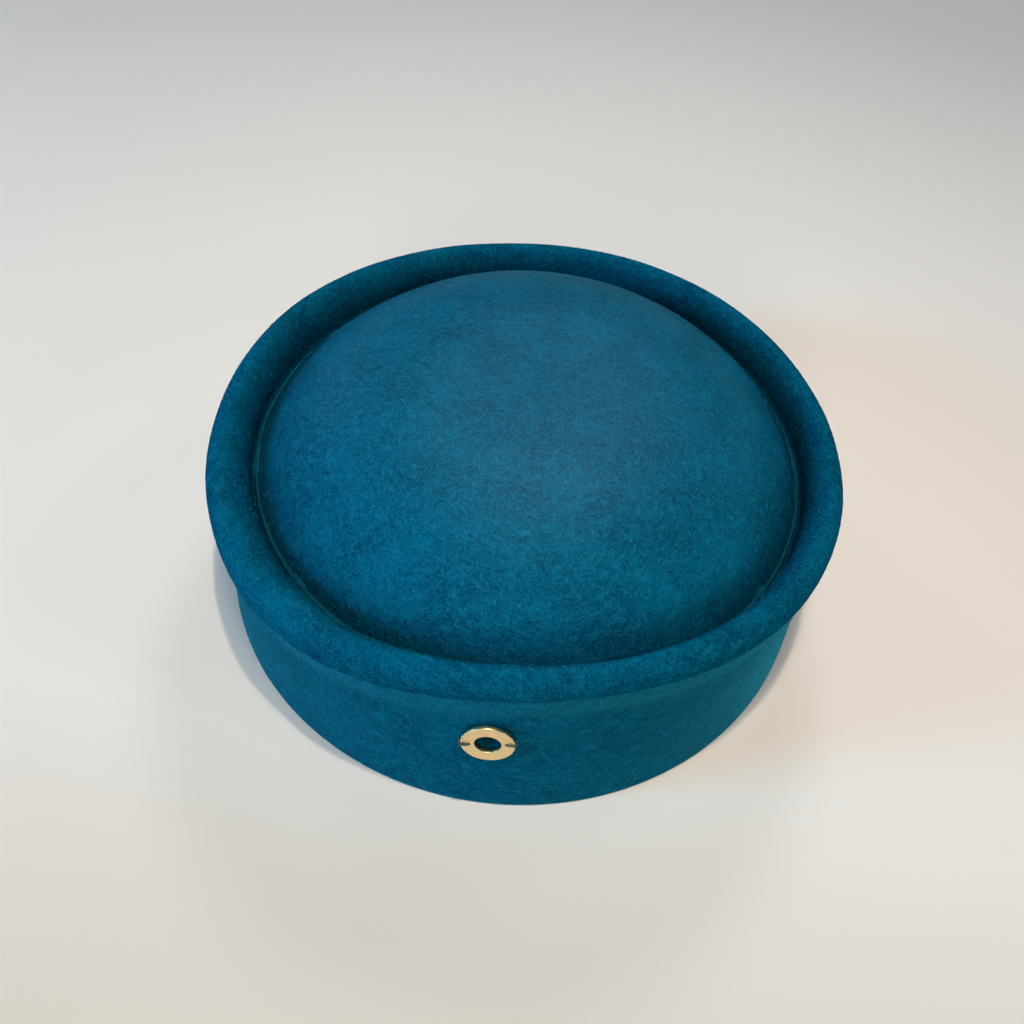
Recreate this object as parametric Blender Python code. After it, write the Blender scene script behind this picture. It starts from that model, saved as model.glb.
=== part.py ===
"""Wool felt hat: a brimless felt body blocked in one piece (side wall, rolled edge, sunk crease
and domed crown), and a flat gold-coloured ring sewn to the front of the wall.

The hat stands on its rim. Front is -Y, up is +Z, the origin is under the middle of its box."""

import bpy
import bmesh
from math import atan2, cos, pi, radians, sin, tan
from mathutils import Matrix, Vector

MM = 0.001

# The plan of the side wall is an oval. These are the half axes of the wall's outer face at the rim.
HALF_WIDTH = 86.9 * MM
HALF_LENGTH = 101.1 * MM

FELT = 2.5 * MM
RIM_ROUND = 0.5 * MM
WALL_WAIST = 0.33 * MM

# The rolled edge is uneven, as hand-blocked felt is. Each row is one place round the hat:
# the bearing from the front towards +X, how far the roll stands out from the wall's oval,
# how high its top is, and how high its underside meets the wall.
ROLL_COLUMNS = ("bearing_deg", "belly_out_mm", "top_up_mm", "neck_up_mm")
ROLL_PLACES = (
    (0, 2.2, 50.6, 41.2),
    (45, 2.6, 50.5, 40.6),
    (90, 3.3, 47.1, 33.8),
    (135, 2.7, 47.9, 34.7),
    (180, 3.0, 47.4, 34.4),
    (225, 3.4, 47.4, 34.3),
    (270, 3.7, 47.7, 34.6),
    (315, 5.0, 43.5, 29.1),
)
ROLL_HALF_THICK = 4.1 * MM
ROLL_SHOULDER = 4.8 * MM
NECK_ROUND = 0.8 * MM

# The crease runs round the crown inside the roll, and the dome rises from it.
CREASE_OUT = -6.95 * MM
CREASE_UP = 35.2 * MM
CREASE_ROUND = 0.5 * MM
APEX_UP = 62.5 * MM
DOME_POWER = 3.77

SEGMENTS = 60
WALL_STEPS = (0.35, 0.7)
DOME_STEPS = (0.95, 0.89, 0.81, 0.71, 0.59, 0.45, 0.3, 0.15)

# The ring badge: a flat washer with two sewing holes, a little right of the middle of the front.
BADGE_BEARING = radians(4.4)
BADGE_UP = 26.9 * MM
BADGE_RADIUS = 6.5 * MM
BADGE_HOLE_RADIUS = 3.2 * MM
BADGE_THICK = 1.0 * MM
BADGE_EDGE = 0.22 * MM
BADGE_TURN = radians(9.0)
BADGE_LEAN = radians(2.4)
BADGE_GAP = 0.3 * MM
BADGE_SEGMENTS = 48
SEWING_HOLE_RADIUS = 0.45 * MM
SEWING_HOLE_OUT = 4.45 * MM
SEWING_HOLE_SIDES = 10

TEAL = (0.004, 0.083, 0.142, 1.0)
GOLD = (0.82, 0.60, 0.30, 1.0)


def clear_scene():
    for thing in list(bpy.data.objects):
        bpy.data.objects.remove(thing)


def material(name, colour, roughness, metallic):
    made = bpy.data.materials.new(name)
    made.use_nodes = True
    shader = made.node_tree.nodes["Principled BSDF"]
    shader.inputs["Base Color"].default_value = colour
    shader.inputs["Roughness"].default_value = roughness
    shader.inputs["Metallic"].default_value = metallic
    return made


def round_the_hat(column, bearing):
    """The roll's size at a bearing: the smooth wave through the sizes at the named places."""
    at = ROLL_COLUMNS.index(column)
    count = len(ROLL_PLACES)
    total = 0.0
    for place in ROLL_PLACES:
        gap = bearing - radians(place[0])
        if abs(sin(gap / 2)) < 1e-9:
            return place[at] * MM
        total += place[at] * MM * sin(count * gap / 2) / (count * tan(gap / 2))
    return total


def plan_point(bearing, out):
    """The place in plan that lies out from the wall's oval, or for the dome, in from the crease."""
    turn = bearing - pi / 2
    base = Vector((HALF_WIDTH * cos(turn), HALF_LENGTH * sin(turn)))
    outward = Vector((cos(turn) / HALF_WIDTH, sin(turn) / HALF_LENGTH)).normalized()
    if out >= CREASE_OUT:
        return base + outward * out
    crease = base + outward * CREASE_OUT
    return crease * (1 - (CREASE_OUT - out) / crease.length)


def crease_reach(bearing):
    return plan_point(bearing, CREASE_OUT).length


def arc(centre, half_out, half_up, start, end, steps):
    """Points on an elliptic arc in a section, from one angle to another in degrees."""
    points = []
    for step in range(steps + 1):
        angle = radians(start + (end - start) * step / steps)
        points.append(Vector((centre[0] + half_out * cos(angle), centre[1] + half_up * sin(angle))))
    return points


def dome_up(share):
    """Height of the dome's outside at a share of the way from its middle to the crease."""
    return CREASE_UP + (APEX_UP - CREASE_UP) * (1 - share**DOME_POWER)


def crease_fillet(reach):
    """The small round at the bottom of the crease, between the upright roll and the dome."""
    foot = Vector((CREASE_OUT, CREASE_UP))
    rise = (APEX_UP - CREASE_UP) * DOME_POWER / reach
    dome_angle = atan2(rise, -1.0)
    half_opening = (dome_angle - pi / 2) / 2
    centre = Vector((-CREASE_ROUND, CREASE_ROUND / tan(half_opening))) + foot
    sweep = 180 - (dome_angle - pi / 2) * 180 / pi
    return arc(centre, CREASE_ROUND, CREASE_ROUND, 0, -sweep, 4)


def outer_section(bearing):
    """The felt's outer face in section, from just above the rim to the top of the dome."""
    belly_out = round_the_hat("belly_out_mm", bearing)
    top_up = round_the_hat("top_up_mm", bearing)
    neck_up = round_the_hat("neck_up_mm", bearing)
    middle_out = belly_out - ROLL_HALF_THICK
    belly_up = top_up - ROLL_SHOULDER
    reach = crease_reach(bearing)
    points = [Vector((0.0, RIM_ROUND))]
    for share in WALL_STEPS:
        points.append(Vector((-WALL_WAIST * sin(pi * share), neck_up * share)))
    points += arc((NECK_ROUND, neck_up - NECK_ROUND), NECK_ROUND, NECK_ROUND, 180, 110, 2)
    points += arc((0.0, belly_up), belly_out, belly_up - neck_up, -60, 0, 3)
    points += arc((middle_out, belly_up), ROLL_HALF_THICK, ROLL_SHOULDER, 0, 90, 5)[1:]
    crease = crease_fillet(reach)
    inner_half = middle_out - CREASE_OUT
    points += arc((middle_out, crease[0].y), inner_half, top_up - crease[0].y, 90, 180, 4)[1:-1]
    points += crease
    for share in DOME_STEPS:
        points.append(Vector((CREASE_OUT - reach * (1 - share), dome_up(share))))
    points.append(Vector((CREASE_OUT - reach, APEX_UP)))
    return points


def inward(points, distance):
    """The same section moved to the felt's inner face."""
    moved = []
    for index, point in enumerate(points):
        before = (point - points[index - 1]).normalized() if index else Vector((0.0, 1.0))
        after = (points[index + 1] - point).normalized() if index + 1 < len(points) else Vector((-1.0, 0.0))
        along = (before + after).normalized()
        stretch = 1 / max(along.dot(before), 0.5)
        moved.append(point + Vector((-along.y, along.x)) * distance * stretch)
    return moved


def rim_section():
    """The rim, from its inner face round the flat bottom to its outer face."""
    inner = arc((RIM_ROUND - FELT, RIM_ROUND), RIM_ROUND, RIM_ROUND, 180, 270, 2)[1:]
    outer = arc((-RIM_ROUND, RIM_ROUND), RIM_ROUND, RIM_ROUND, -90, 0, 2)[:-1]
    return inner + outer


def felt_section(bearing):
    """The whole closed section, from the inside of the dome's top to its outside."""
    outer = outer_section(bearing)
    inner = inward(outer, FELT)
    return inner[::-1] + rim_section() + outer


def plan_middle():
    """The middle of the hat's box in plan, where the origin goes."""
    reach = []
    for step in range(SEGMENTS):
        bearing = 2 * pi * step / SEGMENTS
        reach.append(plan_point(bearing, round_the_hat("belly_out_mm", bearing)))
    across = [place.x for place in reach]
    along = [place.y for place in reach]
    return Vector(((min(across) + max(across)) / 2, (min(along) + max(along)) / 2))


def make_felt_body(felt, middle):
    """One blocked piece: rings of points round the hat, joined by faces, with a pole at each end."""
    sections = [felt_section(2 * pi * step / SEGMENTS) for step in range(SEGMENTS)]
    shape = bmesh.new()
    rings = []
    for level in range(1, len(sections[0]) - 1):
        ring = []
        for step, section in enumerate(sections):
            place = plan_point(2 * pi * step / SEGMENTS, section[level].x) - middle
            ring.append(shape.verts.new((place.x, place.y, section[level].y)))
        rings.append(ring)
    inner_pole = shape.verts.new((-middle.x, -middle.y, APEX_UP - FELT))
    outer_pole = shape.verts.new((-middle.x, -middle.y, APEX_UP))
    for step in range(SEGMENTS):
        after = (step + 1) % SEGMENTS
        shape.faces.new((inner_pole, rings[0][step], rings[0][after]))
        shape.faces.new((outer_pole, rings[-1][after], rings[-1][step]))
        for lower, upper in zip(rings, rings[1:]):
            shape.faces.new((lower[step], upper[step], upper[after], lower[after]))
    bmesh.ops.recalc_face_normals(shape, faces=shape.faces)
    mesh = bpy.data.meshes.new("felt_body")
    shape.to_mesh(mesh)
    shape.free()
    mesh.shade_smooth()
    mesh.materials.append(felt)
    body = bpy.data.objects.new("felt_body", mesh)
    bpy.context.collection.objects.link(body)
    return body


def badge_profile():
    """Half the ring's section, from its axis out: a flat washer with softened edges."""
    half = BADGE_THICK / 2
    inside, outside, edge = BADGE_HOLE_RADIUS, BADGE_RADIUS, BADGE_EDGE
    return (
        (inside, half - edge),
        (inside + edge, half),
        (outside - edge, half),
        (outside, half - edge),
        (outside, edge - half),
        (outside - edge, -half),
        (inside + edge, -half),
        (inside, edge - half),
    )


def make_ring(name, profile, segments):
    """A closed ring turned about Z."""
    shape = bmesh.new()
    rows = []
    for step in range(segments):
        angle = 2 * pi * step / segments
        rows.append([shape.verts.new((r * cos(angle), r * sin(angle), z)) for r, z in profile])
    for row, after in zip(rows, rows[1:] + rows[:1]):
        for index in range(len(profile)):
            following = (index + 1) % len(profile)
            shape.faces.new((row[index], row[following], after[following], after[index]))
    bmesh.ops.recalc_face_normals(shape, faces=shape.faces)
    mesh = bpy.data.meshes.new(name)
    shape.to_mesh(mesh)
    shape.free()
    made = bpy.data.objects.new(name, mesh)
    bpy.context.collection.objects.link(made)
    return made


def make_hole_cutter(name, place, parent):
    shape = bmesh.new()
    bmesh.ops.create_cone(
        shape,
        cap_ends=True,
        segments=SEWING_HOLE_SIDES,
        radius1=SEWING_HOLE_RADIUS,
        radius2=SEWING_HOLE_RADIUS,
        depth=3 * BADGE_THICK,
    )
    mesh = bpy.data.meshes.new(name)
    shape.to_mesh(mesh)
    shape.free()
    cutter = bpy.data.objects.new(name, mesh)
    cutter.location = place
    cutter.parent = parent
    cutter.hide_render = True
    cutter.display_type = "WIRE"
    bpy.context.collection.objects.link(cutter)
    return cutter


def make_ring_badge(gold, middle):
    """The ring lies against the wall, and its face leans a little down as the threads pull it."""
    badge = make_ring("ring_badge", badge_profile(), BADGE_SEGMENTS)
    for side, name in ((-1, "sewing_hole_left"), (1, "sewing_hole_right")):
        cutter = make_hole_cutter(name, (side * SEWING_HOLE_OUT, 0, 0), badge)
        cut = badge.modifiers.new(name, "BOOLEAN")
        cut.operation = "DIFFERENCE"
        cut.object = cutter
    near = plan_point(BADGE_BEARING, -WALL_WAIST / 2)
    outward = (plan_point(BADGE_BEARING, MM) - near).to_3d().normalized()
    up = Vector((0.0, 0.0, 1.0))
    right = up.cross(outward)
    facing = Matrix((right, up, outward)).transposed().to_4x4()
    stand_off = BADGE_GAP + BADGE_THICK / 2 + BADGE_RADIUS * sin(BADGE_LEAN)
    place = Matrix.Translation((near - middle).to_3d() + outward * stand_off + up * BADGE_UP)
    lean = Matrix.Rotation(BADGE_LEAN, 4, "X")
    turn = Matrix.Rotation(BADGE_TURN, 4, "Z")
    badge.matrix_world = place @ facing @ lean @ turn
    badge.data.shade_smooth()
    badge.data.set_sharp_from_angle(angle=radians(35))
    badge.data.materials.append(gold)
    return badge


def main():
    clear_scene()
    middle = plan_middle()
    make_felt_body(material("felt", TEAL, 0.95, 0.0), middle)
    make_ring_badge(material("gold_ring", GOLD, 0.25, 1.0), middle)


main()
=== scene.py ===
# %% [markdown]
# # A blocked wool felt hat
# This lesson finishes a hat whose plain solids are already modelled to size. The hat is one piece of
# teal wool felt, steamed and pulled over a wooden block: an oval side wall, a rolled top edge, a crease
# sunk inside the roll and a low dome. A small flat gold ring is sewn to the front.
# The solids come in as a fixed frame, and every finished piece here is built to the same sizes.

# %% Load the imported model
from math import cos, pi, radians, sin

import bmesh
import bpy
import numpy as np
from mathutils import Matrix, Vector


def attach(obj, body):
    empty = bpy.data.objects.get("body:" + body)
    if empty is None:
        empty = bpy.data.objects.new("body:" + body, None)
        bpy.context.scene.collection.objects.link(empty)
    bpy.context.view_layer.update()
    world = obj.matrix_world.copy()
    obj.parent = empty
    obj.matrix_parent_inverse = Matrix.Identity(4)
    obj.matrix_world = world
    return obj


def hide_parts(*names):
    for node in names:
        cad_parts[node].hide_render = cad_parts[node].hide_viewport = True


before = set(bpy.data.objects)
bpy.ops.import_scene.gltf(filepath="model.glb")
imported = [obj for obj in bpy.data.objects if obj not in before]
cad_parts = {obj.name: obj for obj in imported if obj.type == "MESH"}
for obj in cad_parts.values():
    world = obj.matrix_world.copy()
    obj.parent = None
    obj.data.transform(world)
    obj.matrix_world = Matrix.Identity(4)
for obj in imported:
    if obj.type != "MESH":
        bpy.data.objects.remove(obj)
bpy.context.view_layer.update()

MM = 0.001

# %% [markdown]
# ## The camera
# The picture was taken from above the front, with the camera tipped a little clockwise. A camera is
# easiest to place by where it stands, where it looks and how far it is rolled, because those three
# can each be checked against the picture. A fixed lens of 38 mm gives the mild perspective that makes
# the front of the hat larger than the back.

# %% Camera
PLAN_SHIFT = Vector((0.2, -0.4, 0.0)) * MM
CAMERA_PLACE = Vector((18.9, -251.2, 238.0)) * MM + PLAN_SHIFT
CAMERA_AIM = Vector((-3.5, -0.3, 7.5)) * MM + PLAN_SHIFT
CAMERA_ROLL = 0.126
CAMERA_LENS = 37.97
SENSOR_WIDTH = 36.0


def add_object(name, data):
    """Puts a mesh, a lamp's data or a camera's data into the scene, as an object at the origin."""
    made = bpy.data.objects.new(name, data)
    bpy.context.scene.collection.objects.link(made)
    return made


def make_camera():
    data = bpy.data.cameras.new("camera")
    data.lens = CAMERA_LENS
    data.sensor_width = SENSOR_WIDTH
    camera = add_object("camera", data)
    look = (CAMERA_AIM - CAMERA_PLACE).normalized()
    facing = look.to_track_quat("-Z", "Y")
    roll = Matrix.Rotation(CAMERA_ROLL, 4, "Z")
    camera.matrix_world = Matrix.Translation(CAMERA_PLACE) @ facing.to_matrix().to_4x4() @ roll
    bpy.context.scene.camera = camera


make_camera()
bpy.context.scene.view_settings.view_transform = "Standard"
print("camera is", round((CAMERA_AIM - CAMERA_PLACE).length / MM), "mm from its aim")

# %% [markdown]
# ## Helpers for materials
# Every finish below is a small tree of shader nodes, and a few helpers keep those trees short: one adds
# any node and sets its values, and the others add the kinds that come back most often, such as a noise,
# a sum or a mix of two colours. Numbers that are the same all over a surface are set straight on the
# shader's own sockets.

# %% Node helpers
def new_material(name):
    made = bpy.data.materials.new(name)
    made.use_nodes = True
    return made, made.node_tree, made.node_tree.nodes["Principled BSDF"]


def add_node(tree, kind, links=(), **values):
    """Adds a node. links are (input name or number, socket) pairs, and values set its properties."""
    node = tree.nodes.new(kind)
    for key, value in values.items():
        setattr(node, key, value)
    for key, source in links:
        if isinstance(source, bpy.types.NodeSocket):
            tree.links.new(source, node.inputs[key])
        else:
            node.inputs[key].default_value = source
    return node


def noise(tree, vector, scale, detail=2.0, rough=0.5, distort=0.0):
    node = add_node(tree, "ShaderNodeTexNoise", (("Vector", vector), ("Scale", scale), ("Detail", detail)))
    node.inputs["Roughness"].default_value = rough
    node.inputs["Distortion"].default_value = distort
    return node.outputs["Fac"]


def remap(tree, value, low, high, to_low=0.0, to_high=1.0):
    links = ((0, value), (1, low), (2, high), (3, to_low), (4, to_high))
    return add_node(tree, "ShaderNodeMapRange", links).outputs[0]


def calculate(tree, operation, first, second=0.0):
    return add_node(tree, "ShaderNodeMath", ((0, first), (1, second)), operation=operation).outputs[0]


def times(tree, first, second):
    return calculate(tree, "MULTIPLY", first, second)


def mix_colour(tree, factor, first, second):
    links = ((0, factor), (6, first), (7, second))
    return add_node(tree, "ShaderNodeMix", links, data_type="RGBA").outputs[2]


def attribute(tree, name):
    return add_node(tree, "ShaderNodeAttribute", attribute_name=name).outputs["Fac"]


def bump(tree, height, strength, distance, before=None):
    links = [("Strength", strength), ("Distance", distance), ("Height", height)]
    if before is not None:
        links.append(("Normal", before))
    return add_node(tree, "ShaderNodeBump", links).outputs["Normal"]


# %% [markdown]
# ## The table and the light
# The hat stands on a smooth pale table. One wide plane is enough, with very little gloss, a slow change
# of tone, and painted shade that darkens it far away and near the front. The shadows tell where the
# light comes from.
# A small lamp hangs almost straight overhead and draws the thin crisp shadow round the foot of the
# wall, and a wide lamp beside it fills that shadow in. A blue window shines low from the left, and the
# walls of the room send weak, wide light back from the front, the back and the right. Little light
# comes evenly from everywhere, and so the crease stays dark.

# %% Floor
FLOOR_HALF = 1.6
FLOOR_COLOUR = (0.785, 0.742, 0.700, 1.0)
FLOOR_SHADE = (0.765, 0.720, 0.678, 1.0)
# Painted shade: the table's tone darkens far from the hat and near its front.
FLOOR_FAR_PAINTED_SHADE = (0.56, 0.535, 0.52, 1.0)
FLOOR_NEAR_PAINTED_SHADE = (0.640, 0.572, 0.505, 1.0)
# The far painted shade comes in between these distances from the hat, and the near one between
# these places.
FAR_STARTS = 0.15
FAR_IS_FULL = 0.60
NEAR_STARTS = -0.09
NEAR_IS_FULL = -0.19
FLOOR_CLOUD_SCALE = 2.5
FLOOR_ROUGHNESS = 0.5
FLOOR_GLOSS = 0.15


def mesh_from(shape, name):
    """Turns an edited shape into a mesh."""
    mesh = bpy.data.meshes.new(name)
    shape.to_mesh(mesh)
    shape.free()
    return mesh


def make_floor():
    shape = bmesh.new()
    bmesh.ops.create_grid(shape, x_segments=2, y_segments=2, size=FLOOR_HALF)
    mesh = mesh_from(shape, "table_top")
    floor = add_object("table_top", mesh)
    finish, tree, shader = new_material("pale_table")
    place = add_node(tree, "ShaderNodeTexCoord").outputs["Object"]
    cloud = noise(tree, place, FLOOR_CLOUD_SCALE, 1.0)
    tone = mix_colour(tree, remap(tree, cloud, 0.35, 0.65), FLOOR_COLOUR, FLOOR_SHADE)
    away = add_node(tree, "ShaderNodeVectorMath", ((0, place),), operation="LENGTH").outputs["Value"]
    # Painted shade far away and near the front.
    tone = mix_colour(tree, remap(tree, away, FAR_STARTS, FAR_IS_FULL), tone, FLOOR_FAR_PAINTED_SHADE)
    across = add_node(tree, "ShaderNodeSeparateXYZ", (("Vector", place),)).outputs["Y"]
    near = remap(tree, across, NEAR_IS_FULL, NEAR_STARTS, 1.0, 0.0)
    tone = mix_colour(tree, near, tone, FLOOR_NEAR_PAINTED_SHADE)
    tree.links.new(tone, shader.inputs["Base Color"])
    shader.inputs["Roughness"].default_value = FLOOR_ROUGHNESS
    shader.inputs["Specular IOR Level"].default_value = FLOOR_GLOSS
    mesh.materials.append(finish)


make_floor()
print("table top is", 2 * FLOOR_HALF, "m wide")

# %% Lights
# Each row is one lamp: where it stands as seen from the hat, its width, its power and its colour.
LAMP_COLUMNS = ("name", "azimuth_deg", "elevation_deg", "distance", "width", "power", "colour")
LAMPS = (
    ("ceiling_spot", 282.0, 82.4, 1.6, 0.06, 9.0, (1.0, 0.88, 0.73)),
    ("ceiling_lamp", 272.0, 71.0, 1.6, 0.40, 8.0, (1.0, 0.93, 0.78)),
    ("room_front", 270.0, 19.0, 2.8, 0.70, 24.0, (1.0, 0.96, 0.88)),
    ("room_back", 90.0, 43.0, 2.8, 0.80, 17.0, (0.90, 0.93, 1.0)),
    ("window_left", 207.0, 20.0, 2.8, 0.70, 46.0, (0.16, 0.60, 1.0)),
    ("window_back", 135.0, 21.0, 2.8, 0.70, 6.0, (0.80, 0.92, 1.0)),
    ("room_right", 345.0, 24.0, 2.8, 0.70, 9.5, (0.75, 0.82, 1.0)),
    ("room_right_back", 45.0, 32.0, 2.8, 0.70, 6.0, (0.90, 0.92, 1.0)),
)
LAMP_AIM = Vector((0.0, 0.0, 0.03))
# The ceiling panels behind the hat are only seen as a soft sheen on top of the dome, so this lamp
# shines on the felt alone and without its diffuse light.
SHEEN_LAMP = ("ceiling_panels", 88.0, 64.0, 1.4, 0.16, 44.0, (1.0, 0.98, 0.98))
SHEEN_LAMP_LONG = 0.6
ROOM_COLOUR = (0.86, 0.92, 1.0, 1.0)
ROOM_POWER = 0.03


def make_lamp(name, azimuth_deg, elevation_deg, distance, width, power, colour):
    data = bpy.data.lights.new(name, "AREA")
    data.shape = "DISK"
    data.size = width
    data.energy = power
    data.color = colour
    lamp = add_object(name, data)
    azimuth, elevation = radians(azimuth_deg), radians(elevation_deg)
    level = distance * cos(elevation)
    lamp.location = (level * cos(azimuth), level * sin(azimuth), distance * sin(elevation))
    lamp.rotation_euler = (LAMP_AIM - lamp.location).to_track_quat("-Z", "Y").to_euler()
    return lamp


def make_room_light():
    world = bpy.data.worlds.new("room")
    world.use_nodes = True
    background = world.node_tree.nodes["Background"]
    background.inputs["Color"].default_value = ROOM_COLOUR
    background.inputs["Strength"].default_value = ROOM_POWER
    bpy.context.scene.world = world


for row in LAMPS:
    make_lamp(**dict(zip(LAMP_COLUMNS, row)))
sheen_lamp = make_lamp(**dict(zip(LAMP_COLUMNS, SHEEN_LAMP)))
sheen_lamp.data.shape = "ELLIPSE"
sheen_lamp.data.size_y = SHEEN_LAMP_LONG
sheen_lamp.visible_diffuse = False
felt_pieces = bpy.data.collections.new("felt_pieces")
sheen_lamp.light_linking.receiver_collection = felt_pieces
make_room_light()
print(len(LAMPS) + 1, "lamps and the room's own light")

# %% [markdown]
# ## The felt body's shape
# The body is a surface that goes once round an oval plan. In any upright cut through it there is the
# same chain of forms: the wall, the neck where the roll turns out, the roll's belly and top, its inner
# side, the crease, and the dome. Hand-blocked felt is never even, so the roll's sizes are named at
# eight places round the hat and a smooth wave runs through them. Working with whole rings of points
# at once, as numpy arrays, makes a fine mesh in a second.

# %% Sizes of the felt body
HALF_WIDTH = 86.9 * MM
HALF_LENGTH = 101.1 * MM
FELT = 2.5 * MM
RIM_ROUND = 0.5 * MM
WALL_WAIST = 0.33 * MM

ROLL_COLUMNS = ("bearing_deg", "belly_out_mm", "top_up_mm", "neck_up_mm")
ROLL_PLACES = (
    (0, 2.2, 50.6, 41.2),
    (45, 2.6, 50.5, 40.6),
    (90, 3.3, 47.1, 33.8),
    (135, 2.7, 47.9, 34.7),
    (180, 3.0, 47.4, 34.4),
    (225, 3.4, 47.4, 34.3),
    (270, 3.7, 47.7, 34.6),
    (315, 5.0, 43.5, 29.1),
)
ROLL_HALF_THICK = 4.1 * MM
ROLL_SHOULDER = 4.8 * MM
NECK_ROUND = 0.8 * MM

CREASE_OUT = -6.95 * MM
CREASE_UP = 35.2 * MM
CREASE_ROUND = 0.5 * MM
APEX_UP = 62.5 * MM
DOME_POWER = 3.77

FELT_SEGMENTS = 360


def round_the_hat(column, bearing):
    """The roll's size at each bearing: the smooth wave through the sizes at the named places."""
    at = ROLL_COLUMNS.index(column)
    count = len(ROLL_PLACES)
    total = np.zeros_like(bearing)
    for place in ROLL_PLACES:
        gap = bearing - radians(place[0])
        near = np.abs(np.sin(gap / 2)) < 1e-9
        wide = np.where(near, 1.0, gap)
        weight = np.sin(count * wide / 2) / (count * np.tan(wide / 2))
        total += place[at] * MM * np.where(near, 1.0, weight)
    return total


def plan_place(bearing, out):
    """x and y in plan, out from the wall's oval, or for the dome, in from the crease."""
    turn = bearing - pi / 2
    base = np.stack([HALF_WIDTH * np.cos(turn), HALF_LENGTH * np.sin(turn)], -1)
    outward = np.stack([np.cos(turn) / HALF_WIDTH, np.sin(turn) / HALF_LENGTH], -1)
    outward /= np.linalg.norm(outward, axis=-1, keepdims=True)
    crease = base + outward * CREASE_OUT
    reach = np.linalg.norm(crease, axis=-1)
    out = np.broadcast_to(out, reach.shape)
    on_wall = base + outward * out[..., None]
    on_dome = crease * (1 - (CREASE_OUT - out) / reach)[..., None]
    return np.where((out >= CREASE_OUT)[..., None], on_wall, on_dome)


around = np.arange(FELT_SEGMENTS) * 2 * pi / FELT_SEGMENTS
belly_out = round_the_hat("belly_out_mm", around)
top_up = round_the_hat("top_up_mm", around)
neck_up = round_the_hat("neck_up_mm", around)
print("roll stands out", np.round(belly_out.min() / MM, 1), "to", np.round(belly_out.max() / MM, 1), "mm")
print("roll's top is", np.round(top_up.min() / MM, 1), "to", np.round(top_up.max() / MM, 1), "mm up")

# %% [markdown]
# ## The section, level by level
# Each level of the section is one ring: how far out and how far up it is at every bearing. Beside the
# plain forms, three small things are modelled because the light shows them. The wall swells slightly
# into a shoulder below the neck, the roll has a few soft ripples where the felt was gathered, and a
# fine lip was pressed into the foot of the dome when the crease was made.

# %% Levels of the section
SHOULDER_PROUD = 0.45 * MM
SHOULDER_BELOW = 3.2 * MM
SHOULDER_SPREAD = 2.2 * MM
LIP_PROUD = 0.36 * MM
LIP_SHARE = 0.983
LIP_SPREAD = 0.0034
# Each ripple is its bearing in degrees, its width in degrees and how proud it stands.
RIPPLES = (
    (318, 5.0, 0.35),
    (329, 4.0, -0.45),
    (338, 5.0, 0.3),
    (24, 7.0, 0.25),
    (210, 9.0, 0.3),
    (96, 8.0, -0.25),
)
# Each swell is its number of waves round the hat, its start, its change going up and its height in mm.
SWELLS = ((5, 0.7, 40, 0.10), (9, -1.1, -65, 0.08), (17, 2.3, 90, 0.05))
WALL_SWELL = 0.5
DOME_SWELL = 0.6
WALL_STEPS = 30
NECK_STEPS = 4
BELLY_STEPS = 9
ROLL_STEPS = 14
CREASE_STEPS = 7
# How far out on the dome each ring lies, close together over the lip and wider above it.
DOME_SHARES = (*np.linspace(0.993, 0.97, 8), *np.linspace(0.96, 0.06, 42))


def soft_step(value):
    return np.exp(-value * value)


def unevenness(bearing, up):
    """The slow swell of hand-blocked felt, a few tenths of a millimetre."""
    swell = 0.0
    for waves, start, climb, proud in SWELLS:
        swell = swell + proud * np.sin(waves * bearing + start + climb * up)
    return swell * MM


def ripple(bearing):
    total = np.zeros_like(bearing)
    for centre, width, proud in RIPPLES:
        gap = (np.degrees(bearing) - centre + 180) % 360 - 180
        total += proud * MM * soft_step(gap / width)
    return total


def arc_levels(centre, half_out, half_up, start, end, steps):
    """Rings on an elliptic arc in the section, from one angle to another in degrees."""
    rings = []
    for step in range(steps + 1):
        angle = radians(start + (end - start) * step / steps)
        rings.append((centre[0] + half_out * cos(angle), centre[1] + half_up * sin(angle)))
    return rings


def dome_up(share):
    return CREASE_UP + (APEX_UP - CREASE_UP) * (1 - share**DOME_POWER)


def crease_levels(reach, steps):
    """The small round at the bottom of the crease, between the upright roll and the dome."""
    rise = (APEX_UP - CREASE_UP) * DOME_POWER / reach
    lean = np.arctan2(rise, -1.0) - pi / 2
    centre_up = CREASE_UP + CREASE_ROUND / np.tan(lean / 2)
    rings = []
    for step in range(steps + 1):
        angle = -(pi - lean) * step / steps
        out = CREASE_OUT - CREASE_ROUND + CREASE_ROUND * np.cos(angle)
        rings.append((out, centre_up + CREASE_ROUND * np.sin(angle)))
    return rings


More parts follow.
